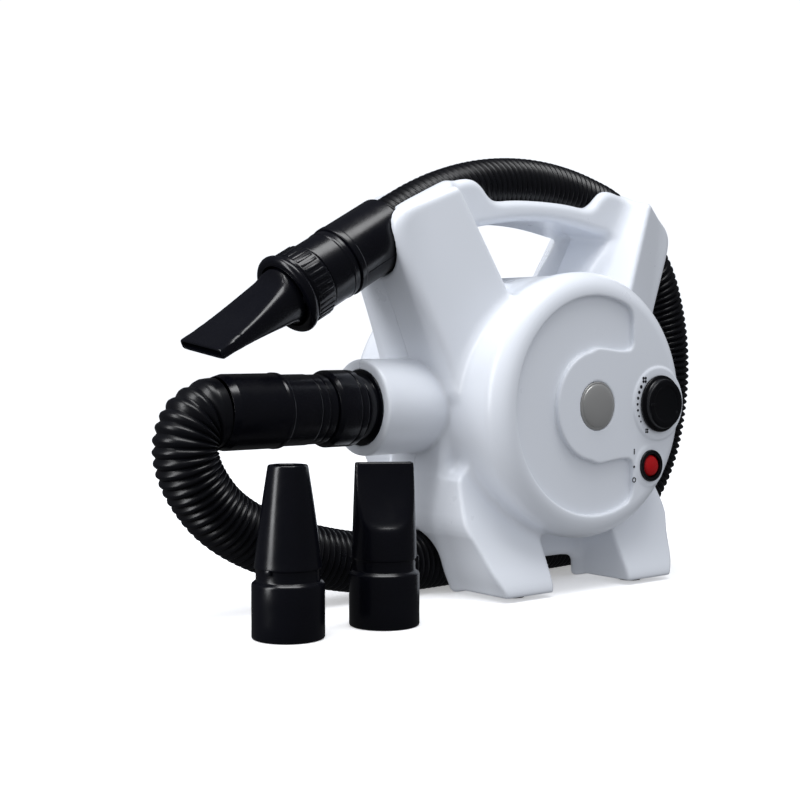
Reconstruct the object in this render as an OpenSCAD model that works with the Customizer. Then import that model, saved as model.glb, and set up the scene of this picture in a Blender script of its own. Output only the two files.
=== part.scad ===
// Pet dryer blower with wrapped hose, wand and two spare nozzles.
// Millimetres, +Z up, front facing -Y, air outlet towards -X.

/* [Body] */
// Radius of the round drum
drum_r = 105; // [90:1:120]
// Height of the drum axis above the floor
axis_z = 146; // [130:1:160]
// Distance from the parting plane to the front face
face_y = 94; // [85:1:105]
// Rounding between drum side and front face
shoulder_r = 17; // [8:1:22]
// Shell wall thickness
wall = 3; // [2:0.5:4]
// Depth of the ring recess in the front face
recess_d = 4.5; // [2:0.5:5]
// Half depth of the plate that forms arms and handle
plate_y = 34; // [30:1:40]
// Outer radius of the outlet collar
collar_r = 37; // [33:0.5:40]
// Distance of the collar mouth from the drum axis
collar_x = 162; // [150:1:170]

/* [Hose] */
// Outer radius of the corrugated hose
hose_r = 23.5; // [20:0.5:26]
// Bend radius of the hose over the handle
arch_r = 258.5; // [240:0.5:280]

/* [Wand] */
// Downward slope of the wand in degrees
wand_deg = 28.9; // [20:0.1:35]
// Outer radius of the wand cuff
cuff_r = 27.5; // [25:0.5:30]

/* [Nozzles] */
// Outer radius of the nozzle sockets
socket_r = 24.5; // [22:0.1:26]
// Height of the cone nozzle
cone_h = 115; // [100:1:130]
// Height of the fitted flat nozzle
flat_h = 127; // [115:1:135]
// Height of the spare flat nozzle
spare_h = 113; // [105:1:125]

/* [Controls] */
// Knob position right of the drum axis
knob_x = 70; // [66:1:72]
// Knob grip radius
knob_r = 20; // [16:0.5:21]
// Switch bezel radius
bezel_r = 12.5; // [11:0.25:14]

/* [Hidden] */
$fn = 96;
shift = [83.25, 5.75, 0];
arch_c = [7, -80.5];
hub = [0, 0, axis_z];
white = [0.93, 0.94, 0.96];
black = [0.06, 0.06, 0.065];
gap_top = 141;
// start of the wand axis on the drum-centred frame
wand_0 = [-118, 0, 145.8];
cuff_a = 21; cuff_b = 75; end_b = 102; rib_b = 120; lip_b = 131;
tip_l = 209;

// ---------- placing helpers ----------
module at_hub() translate(shift + hub) children();
module on_floor() translate(shift) children();
module ycyl(r, y0, y1) translate([0, y1, 0]) rotate([90, 0, 0]) cylinder(r = r, h = y1 - y0);
module ytube(ro, ri, y0, y1) difference() { ycyl(ro, y0, y1); ycyl(ri, y0 - 1, y1 + 1); }
module xcyl(r, x0, x1) translate([x0, 0, 0]) rotate([0, 90, 0]) cylinder(r = r, h = x1 - x0);
module xtube(ro, ri, x0, x1) difference() { xcyl(ro, x0, x1); xcyl(ri, x0 - 1, x1 + 1); }
// drawing in x-z, thickness along y
module xz(y0, y1) translate([0, y1, 0]) rotate([90, 0, 0]) linear_extrude(y1 - y0) children();
// drawing in y-z, thickness along x
module yz(x0, x1) translate([x0, 0, 0]) rotate([90, 0, 90]) linear_extrude(x1 - x0) children();
module both() { children(); mirror([1, 0, 0]) children(); }
// wand frame: local +Z runs along the wand towards the nozzle tip
module along_wand() at_hub() translate(wand_0) rotate([0, -90 - wand_deg, 0]) children();

// ---------- body solids ----------
module drum2d(r, h, f) { square([r - f, h]); square([r, h - f]); translate([r - f, h - f]) circle(r = f); }
module drum(i, hf) {
  rotate([90, 0, 0]) rotate_extrude() drum2d(drum_r - i, hf, shoulder_r - i);
  rotate([-90, 0, 0]) rotate_extrude() drum2d(drum_r - i, hf, shoulder_r - i);
}
// right half of arms, handle and foot flanks
module frame_half(i) {
  difference() {
    union() {
      polygon([[0, 40], [0, 161 - i], [50, 160 - i], [62, 169 - i], [74, 174 - i], [90, 173 - i], [140 - i, 142 - i],
        [146 - i, 132], [120 - i, 62], [104 - i, 20], [40, 0]]);
      polygon([[0, 0], [104 - i, 0], [108 - i, -50], [112 - i, -92], [105 - i, -104], [99 - i, -127], [87 - i, -143 + i],
        [46 + i, -143 + i], [42 + i, -124 + i], [0, -124 + i]]);
    }
    polygon([[-1, 60], [30 + i, 88 - i], [48 + i, 104 - i], [80 + i, 134 - i], [81 + i, 139 + i], [76 + i, gap_top + i], [-1, gap_top + 2 + i]]);
  }
}
// forward ridge of one upper arm, sloping back towards the tip
module arm_block(i) intersection() {
  xz(-90, 0) polygon([[86 + i, 60], [88 + i, 89], [107 + i, 162 - i], [140 - i, 142 - i], [146 - i, 132], [120 - i, 62], [100, 30], [80, 30]]);
  yz(60, 160) polygon([[0, 20], [-77 + i, 20], [-77 + i, 74], [-41 + i, 150], [-41 + i, 170], [0, 170]]);
}
module foot_block(i) intersection() {
  xz(-100, 0) polygon([[60, -40], [104 - i, -50], [112 - i, -92], [105 - i, -104], [99 - i, -127], [87 - i, -143 + i],
    [46 + i, -143 + i], [42 + i, -110], [44, -60]]);
  yz(30, 120) polygon([[0, -30], [-42 + i, -30], [-54 + i, -60], [-67 + i, -90], [-77 + i, -112], [-86 + i, -131], [-85 + i, -139], [-80 + i, -143 + i], [0, -143 + i]]);
}
module four(i) both() { arm_block(i); mirror([0, 1, 0]) arm_block(i); foot_block(i); mirror([0, 1, 0]) foot_block(i); }
module collar_out() {
  xcyl(collar_r, -collar_x + 1, -40);
  xcyl(collar_r - 1, -collar_x, -40);
  translate([-104, 0, 0]) rotate([0, 90, 0]) cylinder(r1 = collar_r, r2 = collar_r + 9, h = 24);
}
// groove over the top that cradles the hose
module trough(r) translate([arch_c[0], 0, arch_c[1]]) rotate([90, 0, 0]) rotate_extrude() translate([arch_r, 0]) circle(r = r);
// passage for the hose under the drum, between front and back feet
module tunnel(d) translate([0, 0, -axis_z]) {
  translate([0, 0, 25]) xcyl(25 + d, -140, 140);
  translate([0, 16, 25]) xcyl(25 + d, -140, 140);
  translate([-140, 0, -10]) cube([280, 16, 60 + d]);
  // the hose climbs as it comes out on the right
  translate([92, 14, 26]) rotate([0, 73, 0]) cylinder(r = 25 + d, h = 70);
  translate([-140, -25 - d, -10]) cube([280, 66 + 2 * d, 35]);
}
module body_out() {
  drum(0, face_y);
  xz(-plate_y, plate_y) both() frame_half(0);
  four(0);
  collar_out();
  // raised seats round the knob and the switch
  translate([knob_x, 0, 0]) ycyl(29.6, -face_y - 1.2, -60);
  translate([61, 0, -50]) ycyl(17, -face_y, -60);
}
module body_in() {
  difference() {
    union() {
      drum(wall, face_y - 7);
      xz(-plate_y + wall, plate_y - wall) both() frame_half(wall);
      four(wall);
    }
    trough(hose_r + 4.5);
    tunnel(wall);
    hose_pass(hose_r + 5);
    cuff_pass(cuff_r + 3.6);
  }
  xcyl(collar_r - wall - 1, -136, -30);
}
// clearance for the hose where it leaves the right arm
module hose_pass(r) intersection() {
  translate([60.6, 0, 46.1]) rotate([90, 0, 0]) rotate_extrude() translate([118.5, 0]) circle(r = r);
  translate([108, -60, 60]) cube([80, 120, 100]);
}
module cuff_pass(r) translate(wand_0) rotate([0, -90 - wand_deg, 0]) translate([0, 0, cuff_a - 0.6]) cylinder(r = r, h = 60);
// long screw bosses, upper pair in the arms and lower pair inside the drum
module boss_solid() both() {
  translate([112, 0, 112]) ycyl(6, -56, 56);
  translate([56, 0, -72]) ycyl(6, -face_y + 6, face_y - 6);
}
module boss_holes() both() {
  translate([112, 0, 112]) { ycyl(1.9, -14, 60); ycyl(4.2, 45, 90); }
  translate([56, 0, -72]) { ycyl(1.9, -60, 100); ycyl(4.2, 84, 100); }
}
module inner_posts() {
  ytube(18, 14.5, -face_y + 6, -50.3);
  translate([40, 0, -20]) ycyl(3, -face_y + 6, -66);
  translate([74, 0, 22]) ycyl(3, -face_y + 6, -66);
}
module recess2d() difference() {
  circle(r = 86);
  circle(r = 42);
  translate([0, -42]) square([100, 84]);
  translate([41, -100]) square([60, 200]);
}
module knob_hole() translate([knob_x, 0, 0]) ycyl(4.2, -face_y - 5, -face_y + 12);
module body() difference() {
  union() {
    difference() { body_out(); body_in(); }
    boss_solid();
    inner_posts();
  }
  boss_holes();
  trough(hose_r + 1.3);
  hose_pass(hose_r + 1.8);
  cuff_pass(cuff_r + 0.6);
  translate([0, 0, -axis_z]) for (x = [-66, 66]) for (y = [-68, 68]) translate([x, y, 2]) cylinder(r = 4, h = 6);
  tunnel(0);
  xz(-face_y - 1, -face_y + recess_d) recess2d();
  // badge seat, knob and switch openings
  ycyl(19.3, -face_y - 1, -face_y + 1.5);
  knob_hole();
  translate([61, 0, -50]) ycyl(10.2, -face_y - 5, -face_y + 12);
  // outlet mouth and bore
  xcyl(29.2, -collar_x - 1, -collar_x + 14);
  xcyl(25.2, -collar_x - 1, -130);
  // rear intake opening
  ycyl(62, face_y - 8, face_y + 1);
  // cord entry low on the rear
  translate([0, 0, -80]) ycyl(6.2, face_y - 12, face_y + 2);
}

module front_shell() color(white) at_hub() intersection() {
  body();
  translate([-300, -200, -200]) cube([600, 200, 500]);
}
module rear_shell() color(white) at_hub() intersection() {
  body();
  translate([-300, 0, -200]) cube([600, 200, 500]);
}

// ---------- front details ----------
module badge_disc() color([0.72, 0.73, 0.74]) at_hub() translate([0, -face_y + 1.4, 0]) rotate([90, 0, 0]) intersection() {
  cylinder(r = 19, h = 8);
  union() { cylinder(r = 19, h = 1.6); translate([0, 0, 4.6 - 62]) sphere(r = 62, $fn = 160); }
}
module fan_mark(s) for (a = [45:90:315]) rotate([0, 0, a]) translate([0, 1.7 * s]) scale(s) circle(r = 1.1, $fn = 24);
module dial_marks() color([0.2, 0.2, 0.22]) at_hub() {
  xz(-face_y - 1.45, -face_y - 1.2) {
    for (k = [0:6]) translate([knob_x + 25.7 * cos(147 + 10.9 * k), 25.7 * sin(147 + 10.9 * k)]) circle(r = 1.5 - 0.12 * k, $fn = 24);
    translate([knob_x - 17.6, 19.5]) fan_mark(1.1);
    translate([knob_x - 14.6, -21.6]) fan_mark(0.8);
  }
  xz(-face_y - 0.25, -face_y) {
    translate([42, -50]) circle(r = 1, $fn = 24);
    translate([41.6, -40]) square([1, 4.5]);
    translate([42.1, -60.5]) difference() { circle(r = 2.2, $fn = 32); circle(r = 1.4, $fn = 32); }
  }
}
module speed_knob() color(black) at_hub() translate([knob_x, 0, 0]) difference() {
  union() {
    ycyl(23, -face_y - 4.8, -face_y - 1.6);
    ycyl(knob_r, -face_y - 8, -face_y - 3);
    translate([0, -face_y - 8, 0]) rotate([90, 0, 0]) cylinder(r1 = knob_r, r2 = knob_r - 1.5, h = 1.5);
    ycyl(6, -face_y - 2, -face_y - 1.5);
  }
  // pointer groove and spindle socket
  translate([-knob_r - 2, -face_y - 11, -1.2]) cube([16, 2.2, 2.4]);
  ycyl(3, -face_y - 6, -face_y + 2);
}
module switch_body() color(black) at_hub() translate([61, 0, -50]) difference() {
  union() {
    ytube(bezel_r, 9.6, -face_y - 2.4, -face_y);
    ytube(10.1, 9.3, -face_y, -face_y + 9);
    difference() {
      translate([-9, -face_y + 9, -9]) cube([18, 12, 18]);
      ycyl(6.5, -face_y + 8, -face_y + 11);
    }
    for (x = [-5, 4.2]) translate([x, -face_y + 21, -2.4]) cube([0.8, 7, 4.8]);
  }
}
module rocker_cap() color([0.78, 0.04, 0.05]) at_hub() translate([61, -face_y + 2.5, -50]) {
  rotate([-6, 0, 0]) intersection() {
    ycyl(8.8, -12, 4);
    translate([0, 7, 0]) sphere(r = 13.5, $fn = 120);
  }
  // pivot pins
  xcyl(1.2, -9.1, 9.1);
}

// ---------- outlet coupling, along -X ----------
module outlet_bush() color(black) at_hub() difference() {
  union() { xcyl(29, -collar_x - 0.8, -collar_x + 13.5); xcyl(25, -collar_x - 8, -collar_x + 26); }
  xcyl(22.1, -collar_x - 20, -collar_x + 40);
}
module lock_ring() color(black) at_hub() difference() {
  union() {
    xcyl(29, -196, -174);
    translate([-199, 0, 0]) rotate([0, 90, 0]) cylinder(r1 = 27, r2 = 29, h = 3);
    translate([-174, 0, 0]) rotate([0, 90, 0]) cylinder(r1 = 29, r2 = 27.4, h = 2);
  }
  xcyl(22.08, -200, -171);
}
module hose_connector() color(black) at_hub() difference() {
  union() { xcyl(22, -214, -140); xcyl(26, -214, -199.3); for (a = [0, 180]) rotate([a, 0, 0]) translate([-150, -3, 20]) cube([6, 6, 1.9]); }
  xcyl(19, -220, -130);
}
module coupling_sleeve() color(black) at_hub() difference() {
  union() {
    xcyl(27.5, -284, -242);
    translate([-289.8, 0, 0]) rotate([0, 90, 0]) cylinder(r1 = 25.8, r2 = 27.5, h = 5.8);
    xcyl(28.1, -244, -239);
    xcyl(26.4, -240, -214);
  }
  xcyl(21, -293, -213);
  xcyl(24.2, -288, -220);
}

// ---------- hose ----------
// centre line, hand-set stations from the coupling to the wand cuff
function arc_top(a) = [arch_c[0] + arch_r * sin(a), 0, arch_c[1] + arch_r * cos(a) + axis_z];
route = [
  [-289.8, 0, 146], [-300, 0, 144.8], [-307, 0, 140.6], [-312, 0, 133], [-314.3, 0, 124], [-313.3, 0, 112.5], [-308.5, 0, 100], [-300.8, 0, 88],
  [-291, 0, 76.5], [-278, 0, 66], [-262, 0, 56.5], [-244, 0, 48.5], [-222, 0, 41], [-198, 0, 34.5], [-172, 0, 29], [-144, 0, 25],
  [-112, 1, 23.8], [-80, 2, 23.8], [-45, 5, 23.8], [-10, 8, 23.8], [25, 11, 23.8], [58, 13, 23.8], [86, 14, 25], [110, 14, 30],
  [131, 13, 39], [149, 12, 52], [164, 11, 68], [176, 10, 88], [184, 9, 110], [187.5, 7, 134], [188.5, 5, 160], [186.5, 3.5, 186],
  [181.5, 2, 208], [174, 1, 230], [164, 0, 251], [150.5, 0, 269.5], [133.5, 0, 285.5], arc_top(22), arc_top(16), arc_top(10), arc_top(4),
  arc_top(-2), arc_top(-8), arc_top(-14), arc_top(-20), arc_top(-25), arc_top(-28.9),
  [wand_0[0] - cuff_a * cos(wand_deg), 0, wand_0[2] - cuff_a * sin(wand_deg) + axis_z]];
function cr(a, b, c, d, t) = 0.5 * ((2 * b) + (c - a) * t + (2 * a - 5 * b + 4 * c - d) * t * t + (3 * b - a - 3 * c + d) * t * t * t);
function at(i) = route[max(0, min(len(route) - 1, i))];
// the tight turn keeps every station and one between, the rest likewise
path = [for (i = [0:len(route) - 2]) for (t = (i < 11 || (i > 22 && i < 38)) ? [0, 0.5] : [0]) cr(at(i - 1), at(i), at(i + 1), at(i + 2), t), at(len(route) - 1)];
n_p = len(path);
function unit(v) = v / norm(v);
function tang(i) = i == 0 ? [-1, 0, 0] : i == n_p - 1 ? [-cos(wand_deg), 0, -sin(wand_deg)] : unit(path[i + 1] - path[i - 1]);
sides = 10;
function ring(i) = let (t = tang(i), s = unit(cross(t, [0, 1, 0])), w = cross(s, t))
  [for (k = [0:sides - 1]) path[i] + hose_r * (cos(360 * k / sides) * s + sin(360 * k / sides) * w)];
module hose() color(black) on_floor() polyhedron(
  points = [for (i = [0:n_p - 1]) each ring(i)],
  faces = [[for (k = [0:sides - 1]) k], [for (k = [sides - 1:-1:0]) (n_p - 1) * sides + k],
    for (i = [0:n_p - 2]) for (k = [0:sides - 1]) [i * sides + k, (i + 1) * sides + k, (i + 1) * sides + (k + 1) % sides, i * sides + (k + 1) % sides]]);

// ---------- wand ----------
module zt(ro, ri, a, b) difference() { translate([0, 0, a]) cylinder(r = ro, h = b - a); translate([0, 0, a - 1]) cylinder(r = ri, h = b - a + 2); }
module wand_cuff() color(black) along_wand() union() {
  zt(cuff_r, 24.2, cuff_a + 1.5, cuff_b - 1);
  zt(cuff_r, 20.5, cuff_a, cuff_a + 2.5);
  zt(28.3, 22.5, cuff_b - 5, cuff_b);
}
module wand_end() color(black) along_wand() difference() {
  union() {
    translate([0, 0, cuff_b]) cylinder(r = 26, h = end_b - 0.6 - cuff_b);
    translate([0, 0, cuff_b + 4]) cylinder(r = 26.7, h = 3);
    translate([0, 0, end_b - 1]) cylinder(r = 22.4, h = 12.5);
    translate([0, 0, cuff_b - 16]) cylinder(r = 24, h = 10.8);
    translate([0, 0, cuff_b - 6]) cylinder(r = 22.2, h = 7);
  }
  translate([0, 0, cuff_b - 20]) cylinder(r = 20.2, h = 80);
}
module nozzle_collar() color(black) along_wand() difference() {
  union() {
    translate([0, 0, end_b]) cylinder(r = 28, h = lip_b - end_b);
    for (a = [0:10:350]) rotate([0, 0, a]) translate([27.6, -1, end_b + 2]) cube([1, 2, 15]);
    translate([0, 0, 125.5]) rotate_extrude() translate([27, 0]) circle(r = 4);
  }
  translate([0, 0, end_b - 1]) cylinder(r = 22.46, h = 13.2);
  translate([0, 0, end_b + 12]) cylinder(r = 24.58, h = 30);
}
// flat fan nozzle, standing on its socket along +Z, slot mouth at the top; h is the full height
module flat_form(h) difference() {
  union() {
    cylinder(r = socket_r, h = 37);
    translate([0, 0, 37]) cylinder(r1 = socket_r, r2 = socket_r - 2, h = 2);
    translate([0, 0, 38]) cylinder(r = 21.6, h = 9);
    translate([0, 0, 47]) intersection() {
      cylinder(r1 = 22.5, r2 = 24, h = h - 47);
      // long scooped cuts leave a thin slot end
      xz(-30, 30) polygon([[-26, -1], [26, -1], [26, h - 47], [-26, h - 47]]);
      yz(-30, 30) polygon([[-25, -1], [-25, 14], [-8, h - 51], [-5.2, h - 47], [5.2, h - 47], [8, h - 51], [25, 14], [25, -1]]);
    }
    for (a = [0, 180]) rotate([0, 0, a]) translate([20.5, -2.5, 44]) cube([3.6, 5, 4]);
  }
  translate([0, 0, -1]) cylinder(r = socket_r - 2.2, h = 37);
  translate([0, 0, 35]) cylinder(r = 18.5, h = 15);
  translate([0, 0, 48]) intersection() {
    cylinder(r1 = 19, r2 = 22.2, h = h);
    yz(-30, 30) polygon([[-19, -1], [-19, 10], [-3.2, h - 56], [-3.2, h], [3.2, h], [3.2, h - 56], [19, 10], [19, -1]]);
  }
}
module cone_form(h) difference() {
  union() {
    cylinder(r = socket_r, h = 37);
    translate([0, 0, 37]) cylinder(r1 = socket_r, r2 = socket_r - 2, h = 2);
    translate([0, 0, 38]) cylinder(r = 21.6, h = 9);
    translate([0, 0, 47]) cylinder(r1 = 22.8, r2 = 13.4, h = h - 47);
    for (a = [0, 180]) rotate([0, 0, a]) translate([20.5, -2.5, 44]) cube([3.6, 5, 4]);
  }
  translate([0, 0, -1]) cylinder(r = socket_r - 2.2, h = 37);
  translate([0, 0, 35]) cylinder(r = 18.5, h = 13);
  translate([0, 0, 47]) cylinder(r1 = 19.5, r2 = 11, h = h - 46.9);
}
module flat_nozzle() color(black) along_wand() translate([0, 0, tip_l - flat_h]) rotate([0, 0, 80]) intersection() {
  flat_form(flat_h);
  translate([-40, -40, 33]) cube([80, 80, 200]);
}
module spare_cone_nozzle() color(black) on_floor() translate([-288, -88, 0]) rotate([0, 0, 20]) cone_form(cone_h);
module spare_flat_nozzle() color(black) on_floor() translate([-211, -93, 0]) rotate([0, 0, -32]) flat_form(spare_h);

// ---------- rear intake ----------
module filter_cover() color(black) at_hub() translate([0, face_y, 0]) difference() {
  union() {
    ytube(70, 57, 0.3, 4.5);
    ytube(61.6, 57, -7, 1);
    for (r = [12, 22, 32, 42, 52]) ytube(r, r - 3, 1, 4.5);
    for (a = [0:45:135]) rotate([0, a, 0]) translate([-58, 1, -2]) cube([116, 3.4, 4]);
    ycyl(9.2, 1, 5.5);
  }
  ycyl(3, 3.8, 7);
}
module filter_foam() color([0.12, 0.12, 0.13]) at_hub() ycyl(56.6, face_y - 6.5, face_y + 0.9);
module cover_latches() color(black) at_hub() for (a = [45, 135, 225, 315]) rotate([0, a, 0]) translate([63.6, face_y + 4.5, -4]) cube([5, 1.6, 8]);

// ---------- feet, fasteners, cord entry ----------
module foot_pads() color([0.05, 0.05, 0.05]) on_floor() for (x = [-66, 66]) for (y = [-68, 68]) translate([x, y, 0]) {
  cylinder(r = 9, h = 3);
  translate([0, 0, 2]) cylinder(r = 4, h = 6);
}
module screw(y0, y1) {
  difference() { ycyl(3.8, y1, y1 + 2.6); for (a = [0, 90]) rotate([0, a, 0]) translate([-2.3, y1 + 1.4, -0.5]) cube([4.6, 2, 1]); }
  ycyl(1.85, y0, y1);
}
module shell_screws() color([0.55, 0.55, 0.57]) at_hub() both() {
  translate([112, 0, 112]) screw(-12, 45);
  translate([56, 0, -72]) screw(-40, 84);
}
module cord_gland() color(black) at_hub() translate([0, 0, -80]) difference() {
  union() { ycyl(8, face_y, face_y + 3); ycyl(6.1, face_y - 8, face_y + 12); for (k = [0:2]) ycyl(7, face_y + 4 + 3 * k, face_y + 5.5 + 3 * k); }
  ycyl(3.2, face_y - 20, face_y + 20);
}

// ---------- motor and fan, about the drum axis ----------
module motor_brackets() color([0.62, 0.63, 0.65]) at_hub() {
  difference() {
    union() {
      ycyl(12, -56, -44); for (a = [0:90:270]) rotate([0, a + 45, 0]) translate([0, -50, -4]) cube([40, 4, 8]);
      for (a = [0:90:270]) rotate([0, a + 45, 0]) translate([35, -50, -4]) cube([5, 24, 8]);
    }
    ycyl(8.05, -54, -40); ycyl(4.6, -60, -30);
  }
  difference() {
    union() { ycyl(42, 26, 29); ycyl(12, 24, 36); for (a = [0:90:270]) rotate([0, a + 45, 0]) translate([35, 28, -4]) cube([5, 10, 8]); for (a = [0:90:270]) rotate([0, a + 45, 0]) translate([35, 18, -4]) cube([5, 9, 8]); }
    ycyl(8.05, 20, 34); ycyl(4.6, 20, 40);
    for (a = [0:60:300]) rotate([0, a, 0]) translate([27, 0, 0]) ycyl(6, 20, 40);
  }
}
module field_core() color([0.45, 0.46, 0.48]) at_hub() xz(-26, 18) difference() {
  intersection() { circle(r = 40); square([72, 72], center = true); }
  circle(r = 20.6);
  for (s = [-1, 1]) translate([0, s * 23]) square([26, 8], center = true);
}
module field_windings() color([0.72, 0.36, 0.16]) at_hub() for (s = [-1, 1]) difference() {
  translate([-12.7, -33, s * 23 - 3.7]) cube([25.4, 58, 7.4]);
  ycyl(20.8, -40, 40);
  translate([-40, -27, s > 0 ? 26.8 : -36.8]) cube([80, 46, 10]);
}
module armature() color([0.4, 0.41, 0.43]) at_hub() xz(-24, 16) difference() {
  circle(r = 20); circle(r = 4);
  for (a = [0:30:330]) rotate([0, 0, a]) translate([17.2, 0]) square([6, 2.6], center = true);
}
module armature_windings() color([0.7, 0.34, 0.14]) at_hub() { ytube(16.5, 4.6, -31, -24); ytube(16.5, 4.6, 16, 23); }
module commutator() color([0.74, 0.42, 0.22]) at_hub() difference() {
  ytube(11, 4, -43, -32);
  for (a = [0:30:330]) rotate([0, a, 0]) translate([10, -44, -0.3]) cube([3, 11, 0.6]);
}
module motor_shaft() color([0.75, 0.76, 0.78]) at_hub() ycyl(4, -58, 66);
module front_bearing() color([0.7, 0.71, 0.73]) at_hub() ytube(8, 4.05, -54, -47);
module rear_bearing() color([0.7, 0.71, 0.73]) at_hub() ytube(8, 4.05, 26, 33);
module brush_holders() color([0.75, 0.62, 0.3]) at_hub() for (s = [0, 180]) rotate([0, s, 0]) difference() {
  translate([12, -42, -5]) cube([22, 8, 10]);
  translate([11, -40.6, -3.2]) cube([20, 5.2, 6.4]);
}
module carbon_brushes() color([0.1, 0.1, 0.1]) at_hub() for (s = [0, 180]) rotate([0, s, 0]) translate([11.4, -40.5, -3.1]) cube([14, 5, 6.2]);
module impeller() color([0.8, 0.81, 0.83]) at_hub() {
  difference() { ycyl(60, 58, 60); ycyl(4, 50, 70); }
  difference() { ycyl(8, 52, 62); ycyl(4, 50, 70); }
  ytube(60, 24, 44, 45.5);
  for (a = [0:30:330]) rotate([0, a, 0]) intersection() {
    translate([44, 0, 22]) ytube(34, 32.4, 45, 58.5);
    translate([24, 40, -12]) cube([33, 22, 34]);
  }
}
module fan_housing() color([0.25, 0.26, 0.28]) at_hub() difference() {
  union() { ycyl(68, 38, 68); ycyl(74, 64, 68); }
  ycyl(64.5, 41, 65.5);
  ycyl(30, 60, 70);
  ycyl(13, 30, 60);
  for (a = [0:30:330]) rotate([0, a, 0]) translate([62, 43, -6]) cube([8, 14, 12]);
}
module motor_mounts() color([0.05, 0.05, 0.05]) at_hub() {
  ytube(14.5, 12, -56, -50.3);
  for (a = [45:90:315]) rotate([0, a, 0]) translate([71, 68, -5]) cube([12, face_y - 7 - 68, 10]);
}

// ---------- heater, along the outlet ----------
module heater_frame() color([0.82, 0.78, 0.66]) at_hub() {
  translate([-128, -20.5, -0.5]) cube([68, 41, 1]);
  translate([-128, -32.9, -0.5]) cube([4, 65.8, 1]);
  difference() { translate([-128, -0.5, -20.5]) cube([68, 1, 41]); translate([-130, -1, -0.5]) cube([72, 2, 1]); }
}
module heater_coil() color([0.55, 0.5, 0.48]) at_hub() for (k = [0:8]) translate([-122 + 7 * k, 0, 0]) rotate([0, 90, 0]) rotate_extrude($fn = 48) translate([21.4, 0]) circle(r = 0.9, $fn = 16);
module thermal_cutout() color([0.7, 0.7, 0.72]) at_hub() translate([-76, 7, 6]) { xcyl(5.4, -4, 4); translate([-1, -1, 5]) cube([2, 2, 5]); }
module speed_board() color([0.1, 0.35, 0.2]) at_hub() {
  translate([34, -66, -24]) cube([44, 1.6, 50]);
  translate([40, -64.4, 8]) cube([14, 10, 12]);
  translate([60, -64.4, -18]) cube([12, 8, 10]);
}
module potentiometer() color([0.35, 0.36, 0.4]) at_hub() translate([knob_x, 0, 0]) {
  difference() {
    union() { ycyl(9, -face_y + 16, -face_y + 28); ycyl(3.9, -face_y + 1, -face_y + 17); }
    ycyl(3.05, -face_y, -face_y + 22);
  }
}
module pot_spindle() color([0.7, 0.71, 0.73]) at_hub() translate([knob_x, 0, 0]) ycyl(3, -face_y - 6, -face_y + 21.7);
module inner_leads() color([0.6, 0.1, 0.1]) at_hub() {
  for (z = [-3, 3]) translate([0, 0, z]) { translate([38, 0, 0]) ycyl(1.3, -64.4, -38.7); translate([0, -40, 0]) xcyl(1.3, 34, 39); }
  translate([0, 60, -80]) ycyl(3, -8, 25);
}

front_shell();
rear_shell();
badge_disc();
dial_marks();
speed_knob();
switch_body();
rocker_cap();
outlet_bush();
lock_ring();
hose_connector();
coupling_sleeve();
hose();
wand_cuff();
wand_end();
nozzle_collar();
flat_nozzle();
spare_cone_nozzle();
spare_flat_nozzle();
filter_cover();
filter_foam();
cover_latches();
foot_pads();
shell_screws();
cord_gland();
motor_brackets();
field_core();
field_windings();
armature();
armature_windings();
commutator();
motor_shaft();
front_bearing();
rear_bearing();
brush_holders();
carbon_brushes();
impeller();
fan_housing();
motor_mounts();
heater_frame();
heater_coil();
thermal_cutout();
speed_board();
potentiometer();
pot_spindle();
inner_leads();
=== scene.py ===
import bpy
import bmesh
import math
import numpy as np
from mathutils import Matrix, Vector


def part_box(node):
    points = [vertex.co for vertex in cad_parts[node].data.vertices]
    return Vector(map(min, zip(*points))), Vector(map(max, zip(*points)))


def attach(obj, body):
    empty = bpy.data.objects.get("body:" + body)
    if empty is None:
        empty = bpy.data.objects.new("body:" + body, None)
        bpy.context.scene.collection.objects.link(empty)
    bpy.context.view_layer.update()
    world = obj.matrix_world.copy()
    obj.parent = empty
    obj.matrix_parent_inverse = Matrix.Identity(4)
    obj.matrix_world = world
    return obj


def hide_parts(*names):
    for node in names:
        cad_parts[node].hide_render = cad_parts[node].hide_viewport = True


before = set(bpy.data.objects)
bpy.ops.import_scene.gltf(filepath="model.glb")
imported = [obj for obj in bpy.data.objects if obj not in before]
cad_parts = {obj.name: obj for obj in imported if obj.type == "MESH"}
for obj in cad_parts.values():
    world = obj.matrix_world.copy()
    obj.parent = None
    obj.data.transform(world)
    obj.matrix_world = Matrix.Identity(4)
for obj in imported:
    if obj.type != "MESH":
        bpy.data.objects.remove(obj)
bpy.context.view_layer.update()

MM = 0.001
_lo, _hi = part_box("motor_shaft")
# drum axis: every length below is in millimetres from here unless it says floor
HUB = Vector(((_lo[0] + _hi[0]) / 2, _lo[1] + 0.058, (_lo[2] + _hi[2]) / 2))
FLOOR = Vector((HUB.x, HUB.y, 0.0))

# ------------------------------------------------------------------ camera
cam_data = bpy.data.cameras.new("camera")
cam = bpy.data.objects.new("camera", cam_data)
bpy.context.scene.collection.objects.link(cam)
cam_data.sensor_width = 36.0
cam_data.lens = 65.25
cam.location = FLOOR + Vector((-0.827, -0.882, 0.1975))
_p = math.radians(2.37)
_f = Vector((0.624 * math.cos(_p), 0.7815 * math.cos(_p), -math.sin(_p)))
cam.rotation_mode = "QUATERNION"
cam.rotation_quaternion = _f.to_track_quat("-Z", "Y")
cam_data.clip_start, cam_data.clip_end = 0.05, 30.0
bpy.context.scene.camera = cam


# ------------------------------------------------------------------ materials
def nodes_of(m):
    m.use_nodes = True
    nt = m.node_tree
    nt.nodes.clear()
    out = nt.nodes.new("ShaderNodeOutputMaterial")
    b = nt.nodes.new("ShaderNodeBsdfPrincipled")
    nt.links.new(b.outputs["BSDF"], out.inputs["Surface"])
    return nt, b


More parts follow.
